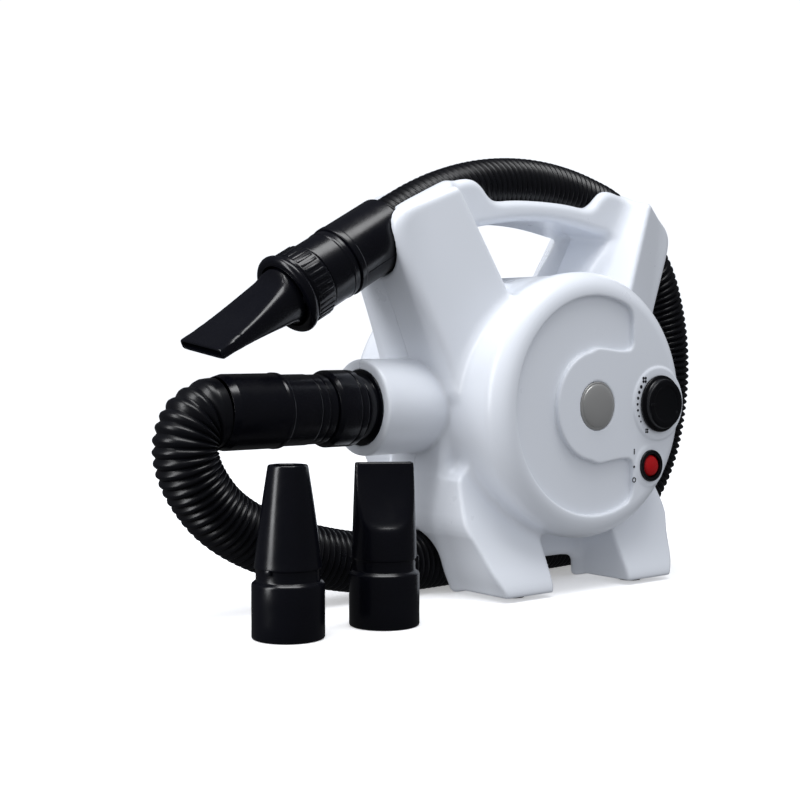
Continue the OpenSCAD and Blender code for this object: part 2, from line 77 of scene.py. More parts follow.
def noise(nt, coord, scale, detail=3.0, rough=0.5):
    n = nt.nodes.new("ShaderNodeTexNoise")
    n.inputs["Scale"].default_value = scale
    n.inputs["Detail"].default_value = detail
    n.inputs["Roughness"].default_value = rough
    nt.links.new(coord, n.inputs["Vector"])
    return n


def spread(nt, value, a, b, lo=0.3, hi=0.7):
    r = nt.nodes.new("ShaderNodeMapRange")
    r.inputs["From Min"].default_value = lo
    r.inputs["From Max"].default_value = hi
    r.inputs["To Min"].default_value = a
    r.inputs["To Max"].default_value = b
    nt.links.new(value, r.inputs["Value"])
    return r.outputs["Result"]


def blend_rgb(nt, fac, a, b):
    x = nt.nodes.new("ShaderNodeMix")
    x.data_type = "RGBA"
    x.inputs["A"].default_value = (*a, 1) if isinstance(a, tuple) else (0, 0, 0, 1)
    x.inputs["B"].default_value = (*b, 1)
    nt.links.new(fac, x.inputs["Factor"])
    if not isinstance(a, tuple):
        nt.links.new(a, x.inputs["A"])
    return x.outputs["Result"]


def finish_mat(name, base, other, rough=(0.3, 0.4), metal=0.0, grain=900.0, bump=0.05,
               patch=14.0, dust=None, wear=None, coat=0.0, ior=1.46, depth=0.0004, brushed=None, sub=0.0):
    """moulded or machined finish: slow colour patches, fine grain bump, uneven roughness,
    dust gathered in hollows and paler worn edges"""
    m = bpy.data.materials.new(name)
    nt, b = nodes_of(m)
    tc = nt.nodes.new("ShaderNodeTexCoord").outputs["Object"]
    slow = noise(nt, tc, patch, 4.0, 0.6)
    col = blend_rgb(nt, spread(nt, slow.outputs["Fac"], 0.0, 1.0), base, other)
    geo = nt.nodes.new("ShaderNodeNewGeometry")
    if dust:
        f = spread(nt, geo.outputs["Pointiness"], 0.55, 0.0, 0.40, 0.49)
        col = blend_rgb(nt, f, col, dust)
    if wear:
        spots = noise(nt, tc, 260.0, 4.0, 0.7)
        k = nt.nodes.new("ShaderNodeMath")
        k.operation = "MULTIPLY"
        nt.links.new(spread(nt, geo.outputs["Pointiness"], 0.0, 1.0, 0.53, 0.62), k.inputs[0])
        nt.links.new(spread(nt, spots.outputs["Fac"], 0.0, 1.0, 0.42, 0.62), k.inputs[1])
        col = blend_rgb(nt, k.outputs[0], col, wear)
    nt.links.new(col, b.inputs["Base Color"])
    smear = noise(nt, tc, patch * 3.3, 5.0, 0.65)
    nt.links.new(spread(nt, smear.outputs["Fac"], rough[0], rough[1]), b.inputs["Roughness"])
    b.inputs["Metallic"].default_value = metal
    b.inputs["IOR"].default_value = ior
    b.inputs["Coat Weight"].default_value = coat
    b.inputs["Coat Roughness"].default_value = 0.12
    if sub:
        b.inputs["Subsurface Weight"].default_value = sub
        b.inputs["Subsurface Radius"].default_value = (0.004, 0.004, 0.004)
        b.inputs["Subsurface Scale"].default_value = 0.5
    vec = tc
    if brushed:
        mp = nt.nodes.new("ShaderNodeMapping")
        mp.inputs["Scale"].default_value = brushed
        nt.links.new(tc, mp.inputs["Vector"])
        vec = mp.outputs["Vector"]
    fine = noise(nt, vec, grain, 3.0, 0.6)
    bp = nt.nodes.new("ShaderNodeBump")
    bp.inputs["Strength"].default_value = bump
    bp.inputs["Distance"].default_value = depth
    nt.links.new(fine.outputs["Fac"], bp.inputs["Height"])
    nt.links.new(bp.outputs["Normal"], b.inputs["Normal"])
    return m


WHITE = finish_mat("white_shell", (0.80, 0.83, 0.885), (0.794, 0.824, 0.88), rough=(0.27, 0.30), grain=520, bump=0.02,
                   patch=5, depth=0.0001, ior=1.5)
GLOSS = finish_mat("gloss_black", (0.0022, 0.0024, 0.0050), (0.0030, 0.0033, 0.0062), rough=(0.20, 0.27), grain=700, bump=0.03,
                   patch=22, wear=(0.010, 0.011, 0.014), depth=0.0003, ior=1.52)
SATIN = finish_mat("satin_black", (0.0018, 0.0020, 0.0036), (0.0028, 0.0030, 0.0046), rough=(0.26, 0.36), grain=1400, bump=0.10,
                   patch=26, wear=(0.016, 0.017, 0.020), depth=0.0002)
HOSEM = finish_mat("hose_black", (0.0028, 0.0030, 0.0050), (0.0042, 0.0045, 0.0065), rough=(0.26, 0.34), grain=1100, bump=0.05,
                   patch=18, dust=(0.006, 0.0063, 0.0075), depth=0.0003)
RED = finish_mat("red_switch", (0.46, 0.005, 0.008), (0.42, 0.004, 0.007), rough=(0.16, 0.22), grain=900, bump=0.03,
                 patch=60, coat=0.5, depth=0.0002, sub=0.06)
SILVER = finish_mat("satin_badge", (0.62, 0.615, 0.60), (0.58, 0.575, 0.565), rough=(0.36, 0.40), metal=0.62, grain=900,
                    bump=0.02, patch=12, depth=0.0001)
RUBBER = finish_mat("pad_rubber", (0.014, 0.014, 0.015), (0.022, 0.022, 0.022), rough=(0.7, 0.85), grain=1600, bump=0.35,
                    patch=40, dust=(0.06, 0.058, 0.055), depth=0.0004)
INK = finish_mat("print_ink", (0.012, 0.012, 0.018), (0.020, 0.020, 0.026), rough=(0.4, 0.55), grain=2200, bump=0.1, patch=90)
FOAM = finish_mat("open_foam", (0.02, 0.02, 0.022), (0.045, 0.045, 0.048), rough=(0.85, 0.95), grain=750, bump=0.9,
                  patch=120, depth=0.0012)
STEEL = finish_mat("screw_steel", (0.42, 0.42, 0.43), (0.34, 0.34, 0.35), rough=(0.25, 0.42), metal=1.0, grain=1200, bump=0.15, patch=60)
CAST = finish_mat("die_cast", (0.44, 0.45, 0.46), (0.36, 0.37, 0.38), rough=(0.42, 0.6), metal=1.0, grain=900, bump=0.4, patch=40)
LAMIN = finish_mat("lamination", (0.26, 0.27, 0.28), (0.18, 0.185, 0.19), rough=(0.35, 0.55), metal=1.0, grain=700, bump=0.5,
                   patch=50, brushed=(0.05, 1.6, 0.05))
COPPERW = finish_mat("copper_wire", (0.62, 0.25, 0.09), (0.45, 0.16, 0.05), rough=(0.25, 0.4), metal=1.0, grain=600, bump=0.7,
                     patch=70, brushed=(0.1, 1.0, 1.0))
COPPERB = finish_mat("copper_bar", (0.72, 0.38, 0.22), (0.58, 0.27, 0.14), rough=(0.25, 0.38), metal=1.0, grain=800, bump=0.25, patch=60)
BRIGHT = finish_mat("bright_steel", (0.62, 0.63, 0.65), (0.52, 0.53, 0.55), rough=(0.12, 0.25), metal=1.0, grain=1000, bump=0.1, patch=50)
BRASS = finish_mat("brass", (0.62, 0.47, 0.19), (0.5, 0.36, 0.13), rough=(0.28, 0.42), metal=1.0, grain=900, bump=0.2, patch=60)
CARBON = finish_mat("carbon", (0.02, 0.02, 0.021), (0.035, 0.035, 0.036), rough=(0.5, 0.7), grain=1500, bump=0.4, patch=90)
SPUN = finish_mat("spun_aluminium", (0.66, 0.67, 0.69), (0.56, 0.57, 0.59), rough=(0.24, 0.38), metal=1.0, grain=800, bump=0.25, patch=30)
INNER = finish_mat("inner_plastic", (0.05, 0.052, 0.058), (0.07, 0.072, 0.078), rough=(0.45, 0.6), grain=1100, bump=0.25, patch=30)
MICA = finish_mat("mica", (0.62, 0.55, 0.40), (0.50, 0.43, 0.29), rough=(0.35, 0.55), grain=500, bump=0.4, patch=90)
WIREM = finish_mat("heater_wire", (0.38, 0.34, 0.32), (0.26, 0.23, 0.22), rough=(0.35, 0.5), metal=1.0, grain=1500, bump=0.3, patch=80)
BOARD = finish_mat("board", (0.03, 0.16, 0.07), (0.02, 0.11, 0.05), rough=(0.3, 0.45), grain=1300, bump=0.3, patch=70)
LEAD = finish_mat("lead_red", (0.36, 0.03, 0.03), (0.28, 0.02, 0.02), rough=(0.35, 0.5), grain=1300, bump=0.2, patch=60)

CAD_MATS = {
    "front_shell": WHITE, "rear_shell": WHITE, "badge_disc": SILVER, "dial_marks": INK, "speed_knob": SATIN,
    "switch_body": SATIN, "rocker_cap": RED, "outlet_bush": GLOSS, "lock_ring": GLOSS, "hose_connector": GLOSS,
    "coupling_sleeve": GLOSS, "hose": HOSEM, "wand_cuff": GLOSS, "wand_end": GLOSS, "nozzle_collar": GLOSS,
    "flat_nozzle": GLOSS, "spare_cone_nozzle": GLOSS, "spare_flat_nozzle": GLOSS, "filter_cover": SATIN,
    "filter_foam": FOAM, "cover_latches": SATIN, "foot_pads": RUBBER, "shell_screws": STEEL, "cord_gland": SATIN,
    "motor_brackets": CAST, "field_core": LAMIN, "field_windings": COPPERW, "armature": LAMIN,
    "armature_windings": COPPERW, "commutator": COPPERB, "motor_shaft": BRIGHT, "front_bearing": BRIGHT,
    "rear_bearing": BRIGHT, "brush_holders": BRASS, "carbon_brushes": CARBON, "impeller": SPUN,
    "fan_housing": INNER, "motor_mounts": RUBBER, "heater_frame": MICA, "heater_coil": WIREM,
    "thermal_cutout": BRIGHT, "speed_board": BOARD, "potentiometer": INNER, "pot_spindle": BRIGHT, "inner_leads": LEAD,
}
for _name, _m in CAD_MATS.items():
    _o = bpy.data.objects.get(_name)
    if _o is None:
        _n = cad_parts[_name]
        _o = _n if isinstance(_n, bpy.types.Object) else None
    if _o is not None:
        _o.data.materials.clear()
        _o.data.materials.append(_m)


# ------------------------------------------------------------------ mesh helpers
def make(name, verts, faces, mat, smooth=True, sharp=38.0):
    me = bpy.data.meshes.new(name)
    me.from_pydata([tuple(float(c) for c in v) for v in verts], [], [tuple(int(i) for i in f) for f in faces])
    me.validate()
    me.update()
    ob = bpy.data.objects.new(name, me)
    bpy.context.scene.collection.objects.link(ob)
    me.materials.append(mat)
    if smooth:
        me.shade_smooth()
        me.set_sharp_from_angle(angle=math.radians(sharp))
    return ob


def tidy(ob, sharp=38.0, dist=0.000004):
    bm = bmesh.new()
    bm.from_mesh(ob.data)
    bmesh.ops.remove_doubles(bm, verts=bm.verts, dist=dist)
    bmesh.ops.recalc_face_normals(bm, faces=bm.faces)
    bm.to_mesh(ob.data)
    bm.free()
    ob.data.update()
    ob.data.shade_smooth()
    ob.data.set_sharp_from_angle(angle=math.radians(sharp))
    return ob


def rounded(profile, default=0.5, steps=4):
    """closed (radius, height) outline with each corner rounded; a third number is that corner's radius"""
    pts = []
    n = len(profile)
    for i in range(n):
        p = np.array(profile[i][:2], float)
        r = profile[i][2] if len(profile[i]) > 2 else default
        a = np.array(profile[i - 1][:2], float) - p
        b = np.array(profile[(i + 1) % n][:2], float) - p
        la, lb = np.linalg.norm(a), np.linalg.norm(b)
        if r <= 0 or la < 1e-6 or lb < 1e-6 or p[0] < 1e-6:
            pts.append(p)
            continue
        a, b = a / la, b / lb
        c = float(np.clip(np.dot(a, b), -1, 1))
        half = math.acos(c) / 2
        if half > math.radians(88):
            pts.append(p)
            continue
        cut = min(r / math.tan(half), la * 0.45, lb * 0.45)
        p0, p1 = p + a * cut, p + b * cut
        for k in range(steps + 1):
            t = k / steps
            pts.append((1 - t) ** 2 * p0 + 2 * t * (1 - t) * p + t * t * p1)
    return np.array(pts)


def lathe_data(profile, segs=96):
    n = len(profile)
    ang = np.arange(segs) * 2 * math.pi / segs
    verts = np.zeros((n * segs, 3))
    for i, (r, z) in enumerate(profile):
        verts[i * segs:(i + 1) * segs, 0] = r * np.cos(ang)
        verts[i * segs:(i + 1) * segs, 1] = r * np.sin(ang)
        verts[i * segs:(i + 1) * segs, 2] = z
    faces = []
    for i in range(n):
        j = (i + 1) % n
        if profile[i][0] < 1e-6 and profile[j][0] < 1e-6:
            continue
        for k in range(segs):
            q = (k + 1) % segs
            faces.append((i * segs + k, i * segs + q, j * segs + q, j * segs + k))
    return verts, faces


def placed(verts, m):
    v = np.asarray(verts, float) * MM
    r = np.array(m.to_3x3())
    return v @ r.T + np.array(m.translation)


def basis(ex, ey, ez, o):
    m = Matrix.Identity(4)
    for i in range(3):
        m[i][0], m[i][1], m[i][2], m[i][3] = ex[i], ey[i], ez[i], o[i]
    return m


WAND_DEG = math.radians(28.9)
_wc, _ws = math.cos(WAND_DEG), math.sin(WAND_DEG)
M_HUB = Matrix.Translation(HUB)
M_FLOOR = Matrix.Translation(FLOOR)
M_OUT = basis((0, 0, 1), (0, 1, 0), (-1, 0, 0), HUB)                     # height = distance out along -X
M_WAND = basis((-_ws, 0, _wc), (0, 1, 0), (-_wc, 0, -_ws), HUB + Vector((-118, 0, 145.8)) * MM)


def m_face(x, z, y=-94.0):
    return basis((1, 0, 0), (0, 0, 1), (0, -1, 0), HUB + Vector((x, y, z)) * MM)


def lathe(name, profile, m, mat, default=0.5, segs=96, steps=4, sharp=38.0, extra=()):
    """solid of revolution from a rounded outline, plus boxes or other meshes joined to it"""
    prof = rounded(profile, default, steps)
    verts, faces = lathe_data(prof, segs)
    parts = [(verts, faces)] + list(extra)
    allv, allf, off = [], [], 0
    for v, f in parts:
        allv.append(np.asarray(v, float))
        allf += [tuple(i + off for i in q) for q in f]
        off += len(v)
    ob = make(name, placed(np.vstack(allv), m), allf, mat, sharp=sharp)
    return tidy(ob, sharp)


def soft_box(lo, hi, r=0.4, turn=0.0, about=(0, 0)):
    """box with bevelled edges, as plain data; turn is about the height axis"""
    bm = bmesh.new()
    bmesh.ops.create_cube(bm, size=1.0)
    for v in bm.verts:
        v.co = Vector([(lo[i] + hi[i]) / 2 + v.co[i] * (hi[i] - lo[i]) for i in range(3)])
    bmesh.ops.bevel(bm, geom=list(bm.edges), offset=r, segments=2, profile=0.5, affect="EDGES")
    bm.verts.ensure_lookup_table()
    v = np.array([tuple(x.co) for x in bm.verts])
    f = [tuple(x.index for x in g.verts) for g in bm.faces]
    bm.free()
    c, s = math.cos(turn), math.sin(turn)
    w = v.copy()
    w[:, 0] = c * v[:, 0] - s * v[:, 1] + about[0]
    w[:, 1] = s * v[:, 0] + c * v[:, 1] + about[1]
    return w, f


# ------------------------------------------------------------------ hose: route in floor millimetres
ARC = (7.0, -80.5, 258.5)


def arc_top(a):
    a = math.radians(a)
    return (ARC[0] + ARC[2] * math.sin(a), 0.0, ARC[1] + ARC[2] * math.cos(a) + 146.0)


ROUTE = [(-289.8, 0, 146), (-300, 0, 144.8), (-307, 0, 140.6), (-312, 0, 133), (-314.3, 0, 124), (-313.3, 0, 112.5), (-308.5, 0, 100),
         (-300.8, 0, 88), (-291, 0, 76.5), (-278, 0, 66), (-262, 0, 56.5), (-244, 0, 48.5), (-222, 0, 41), (-198, 0, 34.5),
         (-172, 0, 29), (-144, 0, 25), (-112, 1, 23.8), (-80, 2, 23.8), (-45, 5, 23.8), (-10, 8, 23.8), (25, 11, 23.8),
         (58, 13, 23.8), (86, 14, 25), (110, 14, 30), (131, 13, 39), (149, 12, 52), (164, 11, 68), (176, 10, 88),
         (184, 9, 110), (187.5, 7, 134), (188.5, 5, 160), (186.5, 3.5, 186), (181.5, 2, 208), (174, 1, 230), (164, 0, 251),
         (150.5, 0, 269.5), (133.5, 0, 285.5)] + [arc_top(a) for a in (22, 16, 10, 4, -2, -8, -14, -20, -25, -28.9)] + [
         (-118 - 21 * _wc, 0, 145.8 - 21 * _ws + 146)]


def catmull(pts, per=24):
    p = np.array(pts, float)
    n = len(p)
    out = []
    for i in range(n - 1):
        a, b, c, d = p[max(0, i - 1)], p[i], p[i + 1], p[min(n - 1, i + 2)]
        for k in range(per):
            t = k / per
            out.append(0.5 * (2 * b + (c - a) * t + (2 * a - 5 * b + 4 * c - d) * t * t + (3 * b - a - 3 * c + d) * t ** 3))
    out.append(p[-1])
    return np.array(out)


dense = catmull(ROUTE)
seg = np.linalg.norm(np.diff(dense, axis=0), axis=1)
arc = np.concatenate([[0], np.cumsum(seg)])
HOSE_LEN = float(arc[-1])
PITCH = HOSE_LEN / round(HOSE_LEN / 5.45)
PER = 7
SIDES = 32
n_ring = int(round(HOSE_LEN / PITCH)) * PER + 1
ss = np.linspace(0, HOSE_LEN, n_ring)
cen = np.stack([np.interp(ss, arc, dense[:, i]) for i in range(3)], 1)
tan = np.gradient(cen, axis=0)
for _ in range(6):      # even out the direction so that the corrugations fan smoothly
    tan[1:-1] = (tan[:-2] + tan[1:-1] * 2 + tan[2:]) / 4
tan /= np.linalg.norm(tan, axis=1)[:, None]
side = np.cross(tan, np.array([0.0, 1.0, 0.0]))
side /= np.linalg.norm(side, axis=1)[:, None]
wide = np.cross(side, tan)
wave = 0.5 - 0.5 * np.cos(2 * math.pi * ss / PITCH)
rad = 20.9 + 2.6 * wave ** 0.62
# a plain cuff fills the mouth of the coupling before the corrugations start
plain = np.clip((11.0 - ss) / 4.0, 0, 1)
rad = rad * (1 - plain) + 25.2 * plain
rad = np.where(ss < 0.5, 24.0, rad)
rad = np.where(HOSE_LEN - ss < 1.0, np.minimum(rad, 21.0), rad)
ang = np.arange(SIDES) * 2 * math.pi / SIDES
hv = (cen[:, None, :] + rad[:, None, None] * (np.cos(ang)[None, :, None] * side[:, None, :] + np.sin(ang)[None, :, None] * wide[:, None, :])).reshape(-1, 3)
hf = []
for i in range(n_ring - 1):
    a, b = i * SIDES, (i + 1) * SIDES
    for k in range(SIDES):
        q = (k + 1) % SIDES
        hf.append((a + k, b + k, b + q, a + q))
hf.append(tuple(range(SIDES)))
hf.append(tuple((n_ring - 1) * SIDES + k for k in range(SIDES - 1, -1, -1)))
hose = make("air_hose", placed(hv, M_FLOOR), hf, HOSEM, sharp=60)
tidy(hose, 60)
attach(hose, "blower")
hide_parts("hose")


# ------------------------------------------------------------------ shell of the blower
def smin(a, b, k):
    h = np.clip(0.5 + 0.5 * (b - a) / k, 0, 1)
    return b + (a - b) * h - k * h * (1 - h)


def smax(a, b, k):
    return -smin(-a, -b, k)


def chaikin(pts, n=2):
    p = [np.array(q, float) for q in pts]
    for _ in range(n):
        r = []
        for i in range(len(p)):
            a, b = p[i], p[(i + 1) % len(p)]
            r += [a * 0.75 + b * 0.25, a * 0.25 + b * 0.75]
        p = r
    return np.array(p)


def mirrored(right):
    left = [(-x, z) for x, z in reversed(right) if x > 0]
    return list(right) + left


def poly_grid(pts, x0, x1, z0, z1, step=1.0):
    """signed distance of a closed outline, sampled so that any point can be looked up"""
    xs = np.arange(x0, x1 + step, step)
    zs = np.arange(z0, z1 + step, step)
    px, pz = np.meshgrid(xs, zs, indexing="ij")
    d = np.full(px.shape, 1e18)
    s = np.ones(px.shape)
    n = len(pts)
    for i in range(n):
        a, b = pts[i], pts[i - 1]
        ex, ez = b[0] - a[0], b[1] - a[1]
        wx, wz = px - a[0], pz - a[1]
        t = np.clip((wx * ex + wz * ez) / (ex * ex + ez * ez), 0, 1)
        d = np.minimum(d, (wx - ex * t) ** 2 + (wz - ez * t) ** 2)
        c1, c2, c3 = pz >= a[1], pz < b[1], ex * wz > ez * wx
        flip = (c1 & c2 & c3) | (~c1 & ~c2 & ~c3)
        s = np.where(flip, -s, s)
    return xs[0], zs[0], step, s * np.sqrt(d)


def look(g, x, z):
    x0, z0, st, d = g
    u = np.clip((x - x0) / st, 0, d.shape[0] - 1.001)
    v = np.clip((z - z0) / st, 0, d.shape[1] - 1.001)
    i, j = u.astype(int), v.astype(int)
    fu, fv = u - i, v - j
    return ((1 - fu) * (1 - fv) * d[i, j] + fu * (1 - fv) * d[i + 1, j] + (1 - fu) * fv * d[i, j + 1] + fu * fv * d[i + 1, j + 1])


FRAME_OUT = chaikin(mirrored([(0, 164), (30, 163.2), (50, 160.6), (58, 164), (66, 173), (76, 177.5), (92, 174.5), (112, 165.5),
                              (138, 153), (148, 146), (152, 137), (148, 122), (123, 66), (106, 24), (105, 0), (108, -50), (112.5, -92),
                              (105.5, -106), (99, -127), (93, -139), (91, -143.5), (86, -143.5), (46, -143.5), (41.5, -143.5), (41.2, -139), (40.5, -126.5), (0, -126.5)]), 2)
GAP = chaikin(mirrored([(0, 60), (30, 86), (47, 100), (62, 118), (78, 133), (78, 138), (60, 141.5), (30, 146.5), (0, 148.3)]), 2)
FOOT = chaikin([(58, -40), (104, -48), (109, -70), (112.5, -92), (105.5, -106), (99, -127), (93, -139), (91.5, -143.5), (87, -143.5), (47, -143.5), (42.5, -143.5), (42, -139),
                (41, -126), (40, -100), (42, -60)], 2)
FRONT = chaikin([(10, -22), (-36, -22), (-47, -46), (-57, -70), (-68, -93), (-78, -114), (-88, -133), (-90, -139.5), (-89.5, -143.5), (-85, -143.5), (10, -143.5)], 2)


def disc(x, z, cx, cz, r):
    return np.sqrt((x - cx) ** 2 + (z - cz) ** 2) - r


RX = (-176.0, 162.0)
RZ = (-152.0, 188.0)
G_OUT = poly_grid(FRAME_OUT, RX[0], RX[1], RZ[0], RZ[1])
G_GAP = poly_grid(GAP, RX[0], RX[1], RZ[0], RZ[1])
G_FOOT = poly_grid(FOOT, 0, RX[1], RZ[0], RZ[1])
G_FRONT = poly_grid(FRONT, -125, 20, RZ[0], RZ[1])


def slab(d2, dy, r):
    """outline drawn through a thickness, with rounded edges"""
    a, b = d2 + r, dy + r
    return np.minimum(np.maximum(a, b), 0) + np.sqrt(np.maximum(a, 0) ** 2 + np.maximum(b, 0) ** 2) - r


def drum_radius(ay):
    """the drum draws in a little behind the front, where the outlet leaves it"""
    t = np.clip((74.0 - ay) / 26.0, 0, 1)
    return 105.0 - 2.0 * t * t * (3 - 2 * t)


def outer(x, y, z):
    ax, ay = np.abs(x), np.abs(y)
    rho = np.sqrt(x * x + z * z)
    drum = slab(rho - drum_radius(ay), ay - 94.0, 17.0)
    d_out = look(G_OUT, x, z)
    d_gap = look(G_GAP, x, z)
    web = slab(smax(d_out, -d_gap, 5.0), ay - 34.0, 7.0)
    # arms: a face falling back outwards from a ridge, and a soft wall down to the web
    nb = math.sqrt(1 + 0.435 ** 2 + 0.055 ** 2)
    face = (-89.5 + 0.435 * ax - 0.055 * z + ay) / nb
    wall = ((ax - 65) * -0.866 + (z - 88) * 0.5 + 0.42 * (ay - 60)) / math.sqrt(1 + 0.42 ** 2)
    arm = smax(smax(d_out, face, 5.0), wall, 4.0)
    arm = smax(arm, -(z - 8), 8.0)
    # feet: a front that leans out to the toe, meeting the outer side in a ridge
    d_foot = look(G_FOOT, ax, z)
    d_front = look(G_FRONT, -ay, z)
    foot = smax(d_foot, d_front, 3.0)
    # outlet collar
    rc = np.sqrt(y * y + z * z)
    collar = slab(rc - 37.0, np.abs(x + 100) - 62.0, 2.2)
    d = smin(drum, web, 9.0)
    d = smin(d, arm, 9.0)
    d = smin(d, foot, 9.0)
    d = smin(d, collar, 2.5)
    # raised seats round the knob and the switch
    seat = slab(disc(x, z, 70, 0, 29.6), np.abs(y + 78) - 17.2, 1.3)
    d = smin(d, seat, 2.0)
    seat = slab(disc(x, z, 61, -50, 17.0), np.abs(y + 78) - 16.3, 1.3)
    d = smin(d, seat, 2.0)
    return d


_tx = math.radians(73)


def body(x, y, z):
    rho = np.sqrt(x * x + z * z)
    rc = np.sqrt(y * y + z * z)
    d = outer(x, y, z)
    # hose cradle over the top and passages on the right and at the wand
    top = np.sqrt((np.sqrt((x - ARC[0]) ** 2 + (z - ARC[1]) ** 2) - ARC[2]) ** 2 + y * y) - 24.9
    d = smax(d, -top, 3.0)
    right = np.sqrt((np.sqrt((x - 60.6) ** 2 + (z - 46.1) ** 2) - 118.5) ** 2 + y * y) - 25.4
    d = smax(d, -np.maximum(np.maximum(right, 108 - x), 58 - z), 3.0)
    px, pz = x + 118.0, z - 145.8
    along = -px * _wc - pz * _ws
    off = np.sqrt(np.maximum(px * px + pz * pz - along * along, 0) + y * y)
    d = smax(d, -np.maximum(off - 28.2, 20.2 - along), 2.0)
    # tunnel under the drum
    zt = z + 121.0
    tun = np.sqrt(np.maximum(np.abs(y - 8) - 8, 0) ** 2 + zt ** 2) - 25.0
    tun = np.minimum(tun, np.maximum(np.maximum(-25 - y, y - 41), zt))
    ax_, az_ = x - 92.0, z + 120.0
    t = ax_ * math.sin(_tx) + az_ * math.cos(_tx)
    climb = np.sqrt(np.maximum(ax_ ** 2 + az_ ** 2 - t * t, 0) + (y - 14) ** 2) - 25.0
    tun = np.minimum(tun, np.maximum(climb, -t))
    d = smax(d, -tun, 3.5)
    # moulded recess round the badge
    band = smax(smax(rho - 86.0, -(rho - 43.0), 6.0), x - 41.5, 9.0)
    slot = smax(np.abs(z) - 43.0, -x, 6.0)
    band = smax(band, -slot, 9.0)
    d = smax(d, -smax(band, y + 89.5, 1.2), 1.5)
    d = smax(d, -np.maximum(rho - 19.35, y + 92.4), 0.5)
    d = smax(d, -np.maximum(disc(x, z, 61, -50, 10.3), y + 80), 0.5)
    d = np.maximum(d, -np.maximum(disc(x, z, 70, 0, 4.4), y + 80))
    # outlet mouth
    d = smax(d, -np.maximum(rc - 29.25, x + 147.8), 0.6)
    d = np.maximum(d, -np.maximum(rc - 25.25, x + 120))
    # hollow inside, with the lower screw bosses left standing
    cav = slab(rho - drum_radius(np.abs(y)) + 3.2, np.abs(y) - 87.0, 16.0)
    cav = np.minimum(cav, np.maximum(rc - 33.0, np.maximum(x + 30, -136 - x)))
    boss = np.minimum(disc(x, z, 56, -72, 6.0), disc(x, z, -56, -72, 6.0))
    cav = np.maximum(cav, -boss)
    cav = np.maximum(cav, -(tun - 3.0))
    d = np.maximum(d, -cav)
    # rear: intake opening, screw recesses, cord entry
    d = smax(d, -np.maximum(rho - 62.0, 70 - y), 1.0)
    axx = np.abs(x)
    d = np.maximum(d, -np.maximum(disc(axx, z, 112, 112, 4.3), 45 - y))
    d = np.maximum(d, -np.maximum(disc(axx, z, 56, -72, 4.3), 84 - y))
    d = np.maximum(d, -np.maximum(disc(x, z, 0, -80, 6.3), 80 - y))
    return d


def slope(f, p, e=0.25):
    g = np.zeros_like(p)
    for s in ((1, -1, -1), (-1, -1, 1), (-1, 1, -1), (1, 1, 1)):
        v = f(p[:, 0] + e * s[0], p[:, 1] + e * s[1], p[:, 2] + e * s[2])
        g += v[:, None] * np.array(s, float)
    return g / (4 * e)


def settle(f, p, n=3, most=1.2):
    for _ in range(n):
        d = f(p[:, 0], p[:, 1], p[:, 2])
        g = slope(f, p)
        step = d[:, None] * g / np.maximum((g * g).sum(1), 0.25)[:, None]
        ln = np.linalg.norm(step, axis=1)
        step *= np.minimum(1, most / np.maximum(ln, 1e-9))[:, None]
        p = p - step
    return p


import openvdb
H = 1.6
gx = np.arange(-168, 158, H)
gy = np.arange(-99, 99.1, H)
gz = np.arange(-146, 184, H)
vol = np.empty((len(gx), len(gy), len(gz)), np.float32)
for i, xv in enumerate(gx):
    yy, zz = np.meshgrid(gy, gz, indexing="ij")
    vol[i] = body(np.full(yy.shape, xv), yy, zz)
grid = openvdb.FloatGrid()
grid.background = 5.0
grid.copyFromArray(vol)
bp, bt, bq = grid.convertToPolygons(isovalue=0.0, adaptivity=0.0)
bp = np.asarray(bp, float) * H + np.array([gx[0], gy[0], gz[0]])
bp = settle(body, bp)
bfaces = [tuple(q) for q in np.asarray(bq)] + [tuple(q) for q in np.asarray(bt)]
_a, _b, _c = bp[np.asarray(bq)[:2000, 0]], bp[np.asarray(bq)[:2000, 1]], bp[np.asarray(bq)[:2000, 2]]
_nn = np.cross(_b - _a, _c - _a)
if ((_nn * slope(body, (_a + _b + _c) / 3)).sum(1) < 0).mean() > 0.5:
    bfaces = [tuple(reversed(q)) for q in bfaces]


def near_detail(c):
    """face centres close to a moulded edge on the front"""
    x, y, z = c[:, 0], c[:, 1], c[:, 2]
    rho = np.sqrt(x * x + z * z)
    e = np.minimum(np.abs(rho - 86), np.abs(rho - 43))
    e = np.minimum(e, np.abs(x - 41.5) + (np.abs(z) > 86) * 9)
    e = np.minimum(e, np.abs(np.abs(z) - 43) + (x < -4) * 9)
    front = (y < -87) & (e < 5.0)
    front |= (y < -88) & (np.abs(rho - 19.35) < 2.5)
    front |= (y < -88) & (np.abs(disc(x, z, 61, -50, 10.3)) < 2.5)
    front |= (np.abs(np.sqrt(y * y + z * z) - 29.25) < 2.5) & (x < -155)
    front |= (y < -80) & (np.abs(disc(x, z, 70, 0, 29.6)) < 3.0)
    front |= (y < -80) & (np.abs(disc(x, z, 61, -50, 17.0)) < 3.0) & (rho > 84)
    return front


